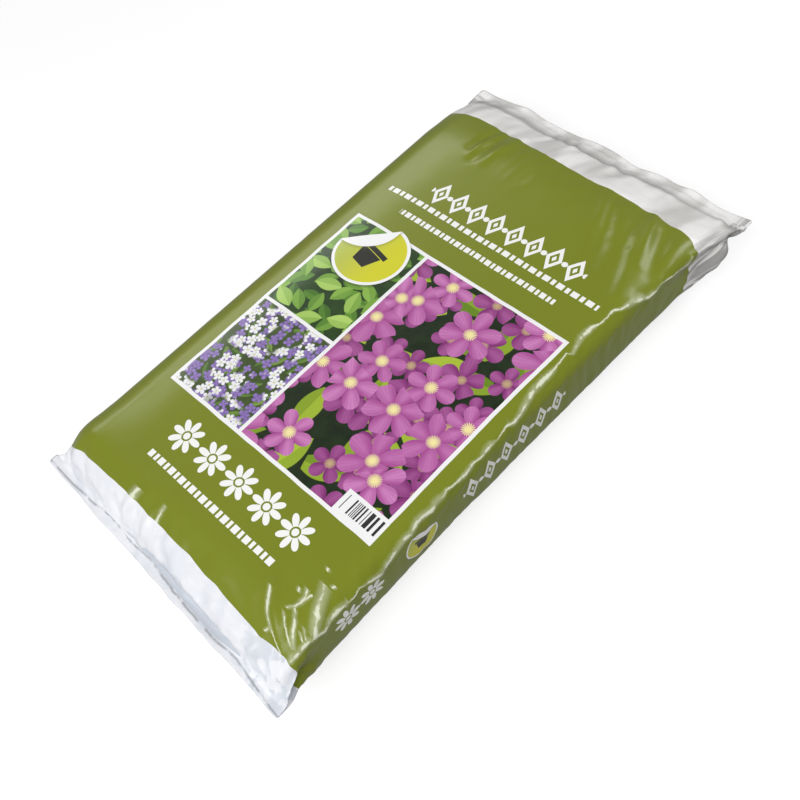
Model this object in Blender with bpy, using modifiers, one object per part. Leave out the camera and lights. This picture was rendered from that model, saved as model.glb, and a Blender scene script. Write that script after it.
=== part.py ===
"""Forty litre compost bag, packed and welded shut, lying on its back.

A tube of printed film with shallow side tucks is welded across both ends and filled with compost.
The source is in metres with +Z up. The front of the print faces up and its top edge points along +Y.
The origin is on the ground, under the middle of the bag.
"""

import math
from itertools import accumulate, pairwise
from typing import NamedTuple

import bmesh
import bpy
from mathutils import Vector
from mathutils.geometry import intersect_point_line

# The film, as it lies flat before filling
FILM_LENGTH = 0.870
FRONT_WIDTH = 0.462
TUCK_WIDTH = 0.050
FLANGE_DEPTH = 0.015
WELD_THICKNESS = 0.0014

# The filled body
BODY_WIDTH = 0.420
BODY_HEIGHT = 0.122
LEFT_SHOULDER = 0.037
RIGHT_SHOULDER = 0.022
BASE_SHOULDER = 0.048
FRONT_ROLL = 0.009
CROWN = 0.0015
RIGHT_FLARE = 0.036  # how much the right side widens over each metre beyond the start
FLARE_START = 0.400

# The ends: the weld's height and width, and how far in the film runs before it is level
NEAR_WELD_HEIGHT = 0.066
NEAR_WELD_WIDTH = 0.450
NEAR_TOP_RUN = 0.064
NEAR_BASE_RUN = 0.052
NEAR_SKEW = 0.009
FAR_WELD_HEIGHT = 0.055
FAR_WELD_WIDTH = 0.472
FAR_TOP_RUN = 0.168
FAR_BASE_RUN = 0.090

# Puckers, gathers and the two long creases
WELD_PUCKER = 0.0032
WELD_PUCKER_PITCH = 0.135
GATHER_DEPTH = 0.0030
GATHER_PITCH = 0.062
CREASE_WANDER = 0.0055
CREASE_PITCH = 0.34
CREASE_CRUMPLE = 0.0024
CRUMPLE_PITCH = 0.055
FAN_DEPTH = 0.0035
FAN_PITCH = 0.048
FAN_REACH = 1.3
GATHER_REACH = 1.4
TUCK_MOUTH = 0.2

# The print, measured along the film from the near weld and across it from the middle of the front
NEAR_BARE = 0.061
FAR_BARE = 0.095
PANEL_LEFT = -0.158
PANEL_RIGHT = 0.189
PANEL_BOTTOM = 0.195
PANEL_TOP = 0.530
PANEL_BORDER = 0.006
PANEL_SPLIT = -0.030
SHELF_SPLIT = 0.355

# The net of faces that the surface is smoothed from
FRONT_STEP = 0.030
NEAR_STEP = 0.014
MIDDLE_STEP = 0.056
FAR_STEP = 0.0165
TUCK_FACES = 4
ARC_STEPS = 24

COLOURS = {
    "green_print": (0.195, 0.238, 0.030),
    "bare_film": (0.86, 0.86, 0.87),
    "picture_border": (0.92, 0.92, 0.92),
    "pink_picture": (0.42, 0.09, 0.30),
    "leaf_picture": (0.13, 0.28, 0.05),
    "lilac_picture": (0.33, 0.28, 0.45),
}
SLOTS = list(COLOURS)


class Fold(NamedTuple):
    """A soft fold in the front film, from one point to another.

    Each point is measured from the right crease inwards and from the far weld inwards.
    """

    start: tuple
    end: tuple
    width: float
    height: float


FOLDS = (
    Fold((0.175, 0.080), (0.085, 0.265), 0.015, 0.0030),
    Fold((0.130, 0.085), (0.050, 0.250), 0.012, 0.0036),
    Fold((0.085, 0.075), (0.022, 0.205), 0.012, 0.0034),
    Fold((0.390, 0.100), (0.440, 0.165), 0.012, 0.0026),
    Fold((0.352, 0.105), (0.415, 0.180), 0.012, 0.0026),
    Fold((0.022, 0.775), (0.060, 0.700), 0.010, 0.0030),
    Fold((0.014, 0.790), (0.016, 0.690), 0.010, 0.0032),
)


class End(NamedTuple):
    """One welded end of the bag."""

    weld_height: float
    weld_width: float
    top_run: float
    base_run: float
    skew: float
    phase: float
    sign: int

    def pucker(self, share):
        """The weld's rise and fall across the bag, where share runs from -1 to 1."""
        turns = share * self.weld_width / 2 / WELD_PUCKER_PITCH
        return WELD_PUCKER * math.sin(math.tau * turns + self.phase)


NEAR = End(NEAR_WELD_HEIGHT, NEAR_WELD_WIDTH, NEAR_TOP_RUN, NEAR_BASE_RUN, NEAR_SKEW, 0.6, -1)
FAR = End(FAR_WELD_HEIGHT, FAR_WELD_WIDTH, FAR_TOP_RUN, FAR_BASE_RUN, 0.0, 2.1, 1)


class Column(NamedTuple):
    """One line of the film that runs from weld to weld."""

    share: float
    across: float
    body: tuple
    face: int
    depth: float


def spread(breaks, longest):
    """The breaks, with even steps no longer than longest put in between them."""
    places = [breaks[0]]
    for start, end in pairwise(breaks):
        steps = max(1, math.ceil((end - start) / longest - 1e-6))
        places += [start + (end - start) * step / steps for step in range(1, steps + 1)]
    return places


def body_outline():
    """The filled section, clockwise from the middle of the top, as points a short step apart."""
    half = BODY_WIDTH / 2
    quarters = (
        (half - RIGHT_SHOULDER, BODY_HEIGHT - RIGHT_SHOULDER, RIGHT_SHOULDER),
        (half - BASE_SHOULDER, BASE_SHOULDER, BASE_SHOULDER),
        (BASE_SHOULDER - half, BASE_SHOULDER, BASE_SHOULDER),
        (LEFT_SHOULDER - half, BODY_HEIGHT - LEFT_SHOULDER, LEFT_SHOULDER),
    )
    points = [(0.0, BODY_HEIGHT)]
    for quarter, (x, z, radius) in enumerate(quarters):
        for step in range(ARC_STEPS + 1):
            turn = math.pi / 2 * (quarter + step / ARC_STEPS)
            points.append((x + radius * math.sin(turn), z + radius * math.cos(turn)))
    return points + points[:1]


OUTLINE = body_outline()
OUTLINE_STEPS = list(accumulate((math.dist(a, b) for a, b in pairwise(OUTLINE)), initial=0))
GIRTH = OUTLINE_STEPS[-1]


def on_outline(distance):
    """The point of the filled section at this distance round it."""
    distance %= GIRTH
    for (start, a), (end, b) in pairwise(zip(OUTLINE_STEPS, OUTLINE)):
        if distance <= end:
            share = (distance - start) / (end - start)
            return a[0] + (b[0] - a[0]) * share, a[1] + (b[1] - a[1]) * share
    return OUTLINE[-1]


RIGHT_CREASE = FRONT_WIDTH / 2 - FRONT_ROLL
LEFT_CREASE = -FRONT_WIDTH / 2 - FRONT_ROLL
SHARED_GIRTH = GIRTH - FRONT_WIDTH
BACK_SCALE = SHARED_GIRTH / (FRONT_WIDTH + 2 * TUCK_WIDTH)


def front_columns():
    """The front film's columns from the left crease, with the panel's upright edges on them."""
    half = PANEL_BORDER / 2
    inner = (PANEL_LEFT + PANEL_BORDER, PANEL_SPLIT - half, PANEL_SPLIT + half, PANEL_RIGHT - PANEL_BORDER)
    places = spread([LEFT_CREASE, PANEL_LEFT, *inner, PANEL_RIGHT, RIGHT_CREASE], FRONT_STEP)
    shares = [2 * (place - LEFT_CREASE) / FRONT_WIDTH - 1 for place in places]
    return [Column(share, place, on_outline(place), 1, 0.0) for share, place in zip(shares, places)]


def back_columns(fronts):
    """The back film's columns, each under one of the front's, from the right crease to the left."""
    start = RIGHT_CREASE + TUCK_WIDTH * BACK_SCALE
    columns = []
    for front in reversed(fronts):
        place = start + (1 - front.share) / 2 * FRONT_WIDTH * BACK_SCALE
        columns.append(Column(front.share, front.across, on_outline(place), -1, 0.0))
    return columns


def tuck_columns(side):
    """A side tuck's columns between its two creases, clockwise."""
    start = RIGHT_CREASE if side > 0 else LEFT_CREASE - TUCK_WIDTH * BACK_SCALE
    edge = RIGHT_CREASE if side > 0 else LEFT_CREASE
    columns = []
    for step in range(1, TUCK_FACES):
        share = step / TUCK_FACES
        body = on_outline(start + share * TUCK_WIDTH * BACK_SCALE)
        columns.append(Column(side, edge, body, 0, 1 - abs(2 * share - 1)))
    return columns


def column_path(column, end):
    """The column's way in from a weld, as (film length, how far in, share of the climb) points."""
    weld_x = column.share * end.weld_width / 2
    body_x, body_z = column.body
    sideways = math.hypot(body_x - weld_x, body_z - end.weld_height)
    level = min(1.0, max(0.0, body_z / BODY_HEIGHT))
    run = end.base_run + (end.top_run - end.base_run) * level
    points = [(run * s / ARC_STEPS, 1 - (1 - s / ARC_STEPS) ** 2) for s in range(ARC_STEPS + 1)]
    spaced = [(inward, climb * sideways) for inward, climb in points]
    lengths = accumulate((math.dist(a, b) for a, b in pairwise(spaced)), initial=0)
    return [(length, *point) for length, point in zip(lengths, points)]


def slope_length(end):
    """The film length of an end's slope, along the middle of the front."""
    return column_path(Column(0.0, 0.0, (0.0, BODY_HEIGHT), 1, 0.0), end)[-1][0]


NEAR_SLOPE = slope_length(NEAR)
FAR_SLOPE = slope_length(FAR)
LEVEL_LENGTH = FILM_LENGTH - NEAR_SLOPE - FAR_SLOPE
WELD_TO_WELD = NEAR_TOP_RUN + LEVEL_LENGTH + FAR_TOP_RUN
NEAR_WELD_Y = -(WELD_TO_WELD - NEAR_SKEW) / 2
FAR_WELD_Y = NEAR_WELD_Y + WELD_TO_WELD


def nearest_end(row):
    """The end that this row is nearer to, that end's slope, and the film's length from its weld."""
    if row < FILM_LENGTH / 2:
        return NEAR, NEAR_SLOPE, row
    return FAR, FAR_SLOPE, FILM_LENGTH - row


def inward_and_climb(column, end, share):
    """How far in the column is, and how far up to its filled height, this share along its slope."""
    path = column_path(column, end)
    slope, run, _ = path[-1]
    length = share * (slope + end.top_run - run)
    for (start, y0, climb0), (stop, y1, climb1) in pairwise(path):
        if length <= stop:
            part = (length - start) / (stop - start)
            return y0 + (y1 - y0) * part, climb0 + (climb1 - climb0) * part
    return run + length - slope, 1.0


def film_point(column, row):
    """A point of the smooth film: between the flat weld and the filled section."""
    end, slope, length = nearest_end(row)
    weld_y = NEAR_WELD_Y if end is NEAR else FAR_WELD_Y
    if length < slope:
        inward, climb = inward_and_climb(column, end, length / slope)
    else:
        inward, climb = end.top_run + length - slope, 1.0
    skew = end.skew * column.share * (1 - climb)
    weld_x = column.share * end.weld_width / 2
    weld_z = end.weld_height + end.pucker(column.share) + column.face * WELD_THICKNESS / 2
    right = min(1.0, max(0.0, column.body[0] / (BODY_WIDTH / 2)))
    body_x = column.body[0] + RIGHT_FLARE * max(0.0, row - FLARE_START) * right**2
    x = weld_x + (body_x - weld_x) * climb
    z = weld_z + (column.body[1] - weld_z) * climb
    return Vector((x, weld_y - end.sign * (inward - skew), z))


def fold_rise(across, row):
    """How far the soft folds lift the front film here."""
    here = Vector((RIGHT_CREASE - across, FILM_LENGTH - row))
    rise = 0.0
    for fold in FOLDS:
        nearest, along = intersect_point_line(here, Vector(fold.start), Vector(fold.end))
        if 0 < along < 1:
            away = (here - nearest).length / fold.width
            rise += fold.height * math.sin(math.pi * along) * (1.6 * math.exp(-(away**2)) - 0.6)
    return rise


def gather_rise(column, row):
    """Pleats that run in from a weld and die out, deepest towards the bag's corners."""
    end, slope, length = nearest_end(row)
    fade = math.sin(math.pi * min(1.0, length / (GATHER_REACH * slope)))
    wave = math.cos(math.tau * column.across / GATHER_PITCH + end.phase)
    return GATHER_DEPTH * fade * (0.35 + 0.65 * column.share**2) * wave


def crease_shift(row):
    """The right crease's long sideways wander and short crumple, as a sideways and an upward part."""
    _, slope, length = nearest_end(row)
    fade = min(1.0, length / slope)
    wander = CREASE_WANDER * math.sin(math.tau * row / CREASE_PITCH + 2.2)
    turns = math.tau * row / CRUMPLE_PITCH
    crumple = CREASE_CRUMPLE * (math.sin(turns) + 0.6 * math.sin(2.3 * turns + 1))
    return Vector((wander + crumple, 0, 0.7 * crumple)) * fade


def tuck_shift(column, row, gap):
    """How far a tuck's column stands out; it is folded in where the creases close up by a weld."""
    _, slope, length = nearest_end(row)
    open_gap = TUCK_WIDTH * BACK_SCALE
    closing = max(0.0, 1 - gap / open_gap)
    mouth = min(1.0, max(0.0, gap / (TUCK_MOUTH * open_gap) - 1))
    fan = FAN_DEPTH * math.sin(math.pi * min(1.0, length / (FAN_REACH * slope)))
    wave = math.sin(math.tau * length / FAN_PITCH)
    return column.depth * (fan * wave * (1 - closing) - TUCK_WIDTH / 2 * closing * mouth)


def ring(columns, row):
    """One turn round the film at this row, clockwise from the left crease."""
    points = [film_point(column, row) for column in columns]
    right = FRONT_COUNT - 1
    for column, point in zip(columns[:FRONT_COUNT], points):
        clear = min(1.0, 4 * (1 - abs(column.share)))
        climb = (point.z - NEAR_WELD_HEIGHT) / (BODY_HEIGHT - NEAR_WELD_HEIGHT)
        point.z += CROWN * max(0.0, climb) * (1 - column.share**2)
        point.z += clear * (fold_rise(column.across, row) + gather_rise(column, row))
    points[right] += crease_shift(row)
    for start, top, base, side in ((right, right, right + TUCK_FACES, 1), (-TUCK_FACES, 0, -TUCK_FACES, -1)):
        gap = points[top].z - points[base].z
        for step in range(1, TUCK_FACES):
            points[start + step].x += side * tuck_shift(columns[start + step], row, gap)
    return points


def flange_ring(columns, end, row):
    """The outer edge of the welded strip beyond this row."""
    points = [film_point(column, row) for column in columns]
    for column, point in zip(columns, points):
        point.y += end.sign * FLANGE_DEPTH
        point.z += end.pucker(column.share) / 2
    return points


def print_rows():
    """The rows of the net, close together at both ends, with every edge of the print on one."""
    half = PANEL_BORDER / 2
    far_start = FILM_LENGTH - GATHER_REACH * FAR_SLOPE
    near = spread([0.0, NEAR_BARE, GATHER_REACH * NEAR_SLOPE], NEAR_STEP)
    low, high = PANEL_BOTTOM + PANEL_BORDER, PANEL_TOP - PANEL_BORDER
    edges = (PANEL_BOTTOM, low, SHELF_SPLIT - half, SHELF_SPLIT + half, high, PANEL_TOP)
    middle = spread([near[-1], *edges, far_start], MIDDLE_STEP)
    far = spread([far_start, FILM_LENGTH - FAR_BARE, FILM_LENGTH], FAR_STEP)
    return near + middle[1:] + far[1:]


def panel_slot(across, row):
    """The colour of the picture panel here, or of the green round it."""
    inside = PANEL_LEFT < across < PANEL_RIGHT and PANEL_BOTTOM < row < PANEL_TOP
    if not inside:
        return "green_print"
    half = PANEL_BORDER / 2
    edges = (across - PANEL_LEFT, PANEL_RIGHT - across, row - PANEL_BOTTOM, PANEL_TOP - row)
    shelf = across < PANEL_SPLIT and abs(row - SHELF_SPLIT) < half
    if min(edges) < PANEL_BORDER or abs(across - PANEL_SPLIT) < half or shelf:
        return "picture_border"
    if across > PANEL_SPLIT:
        return "pink_picture"
    return "leaf_picture" if row > SHELF_SPLIT else "lilac_picture"


def add_quads(net, near_turn, far_turn, columns, row):
    """The faces between two turns, each in the colour of the print at its middle."""
    bare = row < NEAR_BARE or row > FILM_LENGTH - FAR_BARE
    for index, column in enumerate(columns):
        after = (index + 1) % len(columns)
        across = (column.across + columns[after].across) / 2
        on_front = index < FRONT_COUNT - 1
        slot = "bare_film" if bare else panel_slot(across, row) if on_front else "green_print"
        face = net.faces.new((near_turn[index], near_turn[after], far_turn[after], far_turn[index]))
        face.material_index = SLOTS.index(slot)


def close_edge(net, turn):
    """Close the thin outer edge of a flange, front film to back film."""
    last = FRONT_COUNT - 1
    back = 2 * last + TUCK_FACES
    rungs = [(turn[step], turn[step + 1], turn[back - step - 1], turn[back - step]) for step in range(last)]
    corners = [turn[last : last + TUCK_FACES + 1], [*turn[back:], turn[0]]]
    for corner in rungs + corners:
        face = net.faces.new(corner)
        face.material_index = SLOTS.index("bare_film")


def film_net(columns):
    """The whole bag as one closed net of faces."""
    rows = print_rows()
    turns = [flange_ring(columns, NEAR, 0.0)]
    turns += [ring(columns, row) for row in rows]
    turns += [flange_ring(columns, FAR, FILM_LENGTH)]
    middles = [0.0, *((low + high) / 2 for low, high in pairwise(rows)), FILM_LENGTH]
    net = bmesh.new()
    turns = [[net.verts.new(point) for point in points] for points in turns]
    for (near_turn, far_turn), row in zip(pairwise(turns), middles):
        add_quads(net, near_turn, far_turn, columns, row)
    close_edge(net, turns[0])
    close_edge(net, turns[-1])
    bmesh.ops.recalc_face_normals(net, faces=net.faces)
    return net


def make_material(name):
    material = bpy.data.materials.new(name)
    material.use_nodes = True
    shader = material.node_tree.nodes["Principled BSDF"]
    shader.inputs["Base Color"].default_value = (*COLOURS[name], 1)
    shader.inputs["Roughness"].default_value = 0.35
    shader.inputs["Metallic"].default_value = 0.0
    return material


def compost_bag(collection, columns):
    """The filled and welded bag, smoothed from its net."""
    net = film_net(columns)
    mesh = bpy.data.meshes.new("compost_bag")
    net.to_mesh(mesh)
    net.free()
    for name in SLOTS:
        mesh.materials.append(make_material(name))
    mesh.shade_smooth()
    bag = bpy.data.objects.new("compost_bag", mesh)
    collection.objects.link(bag)
    smooth = bag.modifiers.new("smooth", "SUBSURF")
    smooth.levels = 1
    smooth.render_levels = 1


for old in list(bpy.data.objects):
    bpy.data.objects.remove(old)
FRONTS = front_columns()
FRONT_COUNT = len(FRONTS)
parts = bpy.data.collections.new("compost_bag")
bpy.context.scene.collection.children.link(parts)
compost_bag(parts, FRONTS + tuck_columns(1) + back_columns(FRONTS) + tuck_columns(-1))
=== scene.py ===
import math
from itertools import accumulate, pairwise

import bmesh
import bpy
import numpy as np
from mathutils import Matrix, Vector, noise


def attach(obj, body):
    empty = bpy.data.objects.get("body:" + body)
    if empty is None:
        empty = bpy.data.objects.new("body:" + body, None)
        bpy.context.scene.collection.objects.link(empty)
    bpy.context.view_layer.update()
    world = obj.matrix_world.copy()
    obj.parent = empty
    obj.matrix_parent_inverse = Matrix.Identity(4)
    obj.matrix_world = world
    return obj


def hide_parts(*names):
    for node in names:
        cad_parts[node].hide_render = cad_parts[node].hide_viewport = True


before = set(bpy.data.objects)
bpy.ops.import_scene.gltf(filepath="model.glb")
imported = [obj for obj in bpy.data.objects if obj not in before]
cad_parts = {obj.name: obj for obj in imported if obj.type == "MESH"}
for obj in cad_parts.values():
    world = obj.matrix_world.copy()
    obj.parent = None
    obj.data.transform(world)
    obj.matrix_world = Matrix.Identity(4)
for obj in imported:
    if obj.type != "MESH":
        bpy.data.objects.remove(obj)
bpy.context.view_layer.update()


# Film tube
# The bag is one tube of printed polyethylene film with a tuck down each side,
# filled with compost and welded straight across both ends.
# The film is laid out flat, wrapped to the filled form and settled as cloth.

FRONT_WIDTH = 0.462
TUCK_WIDTH = 0.050
FILM_LENGTH = 0.870
FLANGE_DEPTH = 0.015
FILM_GAP = 0.0012  # between the front and the back at a weld
SHEET = 1.05  # side of the square that the flat film is laid out on

BODY_WIDTH = 0.420
BODY_HEIGHT = 0.122
FRONT_ROLL = 0.009  # how far the front is rolled over to the left
FLARE = 0.036  # how fast the right side widens towards the far end
FLARE_START = 0.40
# Each end has its weld's height and width, how far in from the weld the film reaches
# the body's top and its base, how much the weld slants, and where its waves start.
NEAR_END = {
    "side": -1, "height": 0.066, "width": 0.450, "top": 0.064, "base": 0.052, "skew": 0.009, "pucker": 0.6,
}
FAR_END = {
    "side": 1, "height": 0.055, "width": 0.472, "top": 0.168, "base": 0.090, "skew": 0.0, "pucker": 2.1,
}
PUCKER = 0.0032  # height and length of the waves along a weld
PUCKER_PITCH = 0.135
RAG_IN = 0.0022  # how ragged the cut edge is along the bag, and up and down
RAG_UP = 0.0042
LONG_EAR = 0.006  # how far the near left ear stands out past the weld

FRONT_CELLS = 66
TUCK_CELLS = 7
FILM_CELLS = 124
FLANGE_CELLS = 2
CURVE_STEPS = 24


def body_outline():
    """The filled section as (length round it, x, z), clockwise from the middle of the front."""
    half = BODY_WIDTH / 2
    shoulders = ((1, 1, 0.022), (1, -1, 0.048), (-1, -1, 0.048), (-1, 1, 0.042))  # right, up, radius
    points = [(0.0, BODY_HEIGHT)]
    for quarter, (right, up, radius) in enumerate(shoulders):
        x = right * (half - radius)
        z = BODY_HEIGHT - radius if up > 0 else radius
        for step in range(CURVE_STEPS + 1):
            turn = math.pi / 2 * (quarter + step / CURVE_STEPS)
            points.append((x + radius * math.sin(turn), z + radius * math.cos(turn)))
    points.append(points[0])
    lengths = accumulate((math.dist(a, b) for a, b in pairwise(points)), initial=0)
    return [(length, *point) for length, point in zip(lengths, points)]


OUTLINE = body_outline()
SECTION = OUTLINE[-1][0]
SLACK = (SECTION - FRONT_WIDTH) / (FRONT_WIDTH + 2 * TUCK_WIDTH)


def along(track, length):
    """The point of a measured track at that length, straight between its steps."""
    for a, b in pairwise(track):
        if length <= b[0]:
            share = (length - a[0]) / (b[0] - a[0])
            return [p + (q - p) * share for p, q in zip(a[1:], b[1:])]
    return list(track[-1][1:])


def film_line(column):
    """One lengthwise line of the film.

    It is given as its place round the tube, the layer it is in, how far over it lies,
    how deep in a tuck it is, and the point where it meets the filled body.
    """
    cell = FRONT_WIDTH / FRONT_CELLS
    stops = list(accumulate((FRONT_CELLS // 2, TUCK_CELLS, FRONT_CELLS, TUCK_CELLS)))
    left = -FRONT_WIDTH / 2 - FRONT_ROLL
    right = FRONT_WIDTH / 2 - FRONT_ROLL
    if column <= stops[0]:
        layer, share, tucked = -1, -2 * column / FRONT_CELLS, 0.0
        girth = column * cell
        turn = left - (TUCK_WIDTH + FRONT_WIDTH / 2 - girth) * SLACK
    elif column < stops[1]:
        step = (column - stops[0]) / TUCK_CELLS
        layer, share, tucked = 0, -1.0, 1 - abs(2 * step - 1)
        girth = FRONT_WIDTH / 2 + step * TUCK_WIDTH
        turn = left - (1 - step) * TUCK_WIDTH * SLACK
    elif column <= stops[2]:
        layer, share, tucked = 1, 2 * (column - stops[1]) / FRONT_CELLS - 1, 0.0
        girth = FRONT_WIDTH / 2 + TUCK_WIDTH + (column - stops[1]) * cell
        turn = left + (column - stops[1]) * cell
    elif column < stops[3]:
        step = (column - stops[2]) / TUCK_CELLS
        layer, share, tucked = 0, 1.0, 1 - abs(2 * step - 1)
        girth = 1.5 * FRONT_WIDTH + TUCK_WIDTH + step * TUCK_WIDTH
        turn = right + step * TUCK_WIDTH * SLACK
    else:
        layer, share, tucked = -1, 1 - 2 * (column - stops[3]) / FRONT_CELLS, 0.0
        girth = 1.5 * FRONT_WIDTH + 2 * TUCK_WIDTH + (column - stops[3]) * cell
        turn = right + (TUCK_WIDTH + (column - stops[3]) * cell) * SLACK
    return girth, layer, share, tucked, along(OUTLINE, turn % SECTION)


def end_climb(share, body, end):
    """How a line of film climbs from the weld to the body, as (length, way in, share of the climb)."""
    rise = math.hypot(body[0] - share * end["width"] / 2, body[1] - end["height"])
    run = end["base"] + (end["top"] - end["base"]) * min(1, max(0, body[1] / BODY_HEIGHT))
    steps = [
        (run * step / CURVE_STEPS, 1 - (1 - step / CURVE_STEPS) ** 2)
        for step in range(CURVE_STEPS + 1)
    ]
    track = [(way, climbed * rise) for way, climbed in steps]
    lengths = accumulate((math.dist(a, b) for a, b in pairwise(track)), initial=0)
    return [(length, *step) for length, step in zip(lengths, steps)]


NEAR_SLOPE = end_climb(0, (0, BODY_HEIGHT), NEAR_END)[-1][0]
FAR_SLOPE = end_climb(0, (0, BODY_HEIGHT), FAR_END)[-1][0]
WELD_TO_WELD = NEAR_END["top"] + FILM_LENGTH - NEAR_SLOPE - FAR_SLOPE + FAR_END["top"]
NEAR_WELD = -(WELD_TO_WELD - NEAR_END["skew"]) / 2
FAR_WELD = NEAR_WELD + WELD_TO_WELD


def filled_point(line, climbs, row):
    """Where a point of the film lies on the filled bag, before its tuck folds in."""
    girth, layer, share, tucked, body = line
    near = row < FILM_LENGTH / 2
    if near:
        end, climb, slope, weld, length = NEAR_END, climbs[0], NEAR_SLOPE, NEAR_WELD, row
    else:
        end, climb, slope, weld, length = FAR_END, climbs[1], FAR_SLOPE, FAR_WELD, FILM_LENGTH - row
    if length < 0:
        inward, rise = length, 0.0
    elif length < slope:
        reach = length / slope * (climb[-1][0] + end["top"] - climb[-1][1])
        inward, rise = along(climb, reach)
        inward += max(0, reach - climb[-1][0])
    else:
        inward, rise = end["top"] + length - slope, 1.0
    fold = tucked * (1 - rise) * TUCK_WIDTH * SLACK / 2
    weld_x = share * (end["width"] / 2 - fold)
    lip = 0 if length < -FLANGE_DEPTH * 0.99 else FILM_GAP / 2  # the layers meet at the cut edge
    pucker = PUCKER * math.sin(math.tau * weld_x / PUCKER_PITCH + end["pucker"])
    weld_z = end["height"] + pucker + layer * lip
    if length < 0:
        rag = -length / FLANGE_DEPTH
        inward += RAG_IN * rag * noise.noise((weld_x * 38, end["pucker"], 0))
        weld_z += RAG_UP * rag * noise.noise((weld_x * 30, end["pucker"], 5))
    weld_x = share * end["width"] / 2 - (LONG_EAR * max(0, -share) ** 3 if near else 0)
    flare = FLARE * max(0, row - FLARE_START) * min(1, max(0, body[0] / BODY_WIDTH * 2)) ** 2
    across = share - math.copysign(2 * fold / end["width"], share)
    inward -= end["skew"] * across * (1 - rise)
    return Vector((
        weld_x + (body[0] + flare - weld_x) * rise,
        weld - end["side"] * inward,
        weld_z + (body[1] - weld_z) * rise,
    ))


def film_row(step):
    """The length along the film of one row of the grid."""
    if step < FLANGE_CELLS:
        return (step / FLANGE_CELLS - 1) * FLANGE_DEPTH
    if step > FLANGE_CELLS + FILM_CELLS:
        return FILM_LENGTH + (step - FLANGE_CELLS - FILM_CELLS) / FLANGE_CELLS * FLANGE_DEPTH
    return (step - FLANGE_CELLS) / FILM_CELLS * FILM_LENGTH


columns = 2 * FRONT_CELLS + 2 * TUCK_CELLS
rows = FILM_CELLS + 2 * FLANGE_CELLS
lines = [film_line(column) for column in range(columns + 1)]
climbs = [(end_climb(line[2], line[4], NEAR_END), end_climb(line[2], line[4], FAR_END)) for line in lines]
tuck_edges = {  # the columns at the upper and the lower edge of the left and the right tuck
    -1: (FRONT_CELLS // 2 + TUCK_CELLS, FRONT_CELLS // 2),
    1: (FRONT_CELLS * 3 // 2 + TUCK_CELLS, FRONT_CELLS * 3 // 2 + 2 * TUCK_CELLS),
}

sheet = bmesh.new()
bmesh.ops.create_grid(sheet, x_segments=columns, y_segments=rows, size=1)
spread_map = sheet.loops.layers.uv.new("OFBake")
flat_place = sheet.verts.layers.float_vector.new("flat")
film_place = {}
for vert in sheet.verts:
    column = round((vert.co.x + 1) / 2 * columns)
    row = film_row(round((vert.co.y + 1) / 2 * rows))
    girth, layer, share, tucked, body = lines[column]
    if layer == 0:  # the tucks end at the welds
        row = min(FILM_LENGTH, max(0.0, row))
    vert.co = filled_point(lines[column], climbs[column], row)
    if layer == 0:
        upper, lower = (filled_point(lines[edge], climbs[edge], row) for edge in tuck_edges[int(share)])
        fold = math.sqrt(max(0, (TUCK_WIDTH * SLACK) ** 2 - (upper - lower).length ** 2)) / 2
        vert.co.x -= share * fold * tucked
    film_place[vert] = (girth, row)
    vert[flat_place] = (share * (FRONT_WIDTH - tucked * TUCK_WIDTH) / 2, row, layer * FILM_GAP / 2)
for face in sheet.faces:
    for loop in face.loops:
        girth, row = film_place[loop.vert]
        loop[spread_map].uv = (girth / SHEET, (row + FLANGE_DEPTH) / SHEET)
bmesh.ops.remove_doubles(sheet, verts=sheet.verts, dist=0.00001)
bmesh.ops.recalc_face_normals(sheet, faces=sheet.faces)

flat_film = [vert[flat_place].copy() for vert in sheet.verts]
filled_film = [vert.co.copy() for vert in sheet.verts]
bag_film = bpy.data.objects.new("bag_film", bpy.data.meshes.new("bag_film"))
sheet.to_mesh(bag_film.data)
bpy.context.scene.collection.objects.link(bag_film)

# The film settles on its contents: cut as the flat tube is, held at both welds,
# and drawn in on a firm core that has the filled form.
SETTLE_FRAMES = 30
CORE_INSET = 0.0012
AT_WELD = 0.0001  # film nearer than this to a weld is held there
NEAR_GATHER = 0.11  # how far in from each weld the film is loose
FAR_GATHER = 0.23
EDGE_SLACK = 0.6  # how loose the film is at the right shoulder, and how far round it
EDGE_REACH = 0.025
START_RIPPLE = 0.0008
MOST_MOVED = 0.009  # how far the film may settle from the filled form
sheet.normal_update()
for vert in sheet.verts:
    vert.co -= vert.normal * CORE_INSET
core = bpy.data.objects.new("core", bpy.data.meshes.new("core"))
sheet.to_mesh(core.data)
bpy.context.scene.collection.objects.link(core)
core.modifiers.new("Collision", "COLLISION")
core.collision.thickness_outer = 0.001
core.collision.cloth_friction = 5
bag_film.shape_key_add(name="filled")
flat_tube = bag_film.shape_key_add(name="flat tube")
for point, place in zip(flat_tube.data, flat_film):
    point.co = place
free = [AT_WELD < place.y < FILM_LENGTH - AT_WELD for place in flat_film]
held = bag_film.vertex_groups.new(name="welds")
held.add([i for i, is_free in enumerate(free) if not is_free], 1.0, "REPLACE")
taut = bag_film.vertex_groups.new(name="taut")
for i, place in enumerate(flat_film):
    loose = 1 - min(place.y / NEAR_GATHER, (FILM_LENGTH - place.y) / FAR_GATHER)
    loose = max(loose, EDGE_SLACK * math.exp(-(((place.x - FRONT_WIDTH / 2) / EDGE_REACH) ** 2)))
    taut.add([i], 1 - min(1, max(0, loose)), "REPLACE")
noise.seed_set(5)
for vert, is_free in zip(bag_film.data.shape_keys.key_blocks[0].data, free):
    if is_free:
        vert.co += noise.noise_vector(vert.co * 35) * START_RIPPLE
cloth = bag_film.modifiers.new("Cloth", "CLOTH")
cloth.settings.quality = 6
cloth.settings.mass = 0.3
cloth.settings.tension_stiffness = 40
cloth.settings.compression_stiffness = 40
cloth.settings.shear_stiffness = 20
cloth.settings.bending_stiffness = 0.05
cloth.settings.vertex_group_mass = "welds"
cloth.settings.vertex_group_shrink = "taut"
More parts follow.
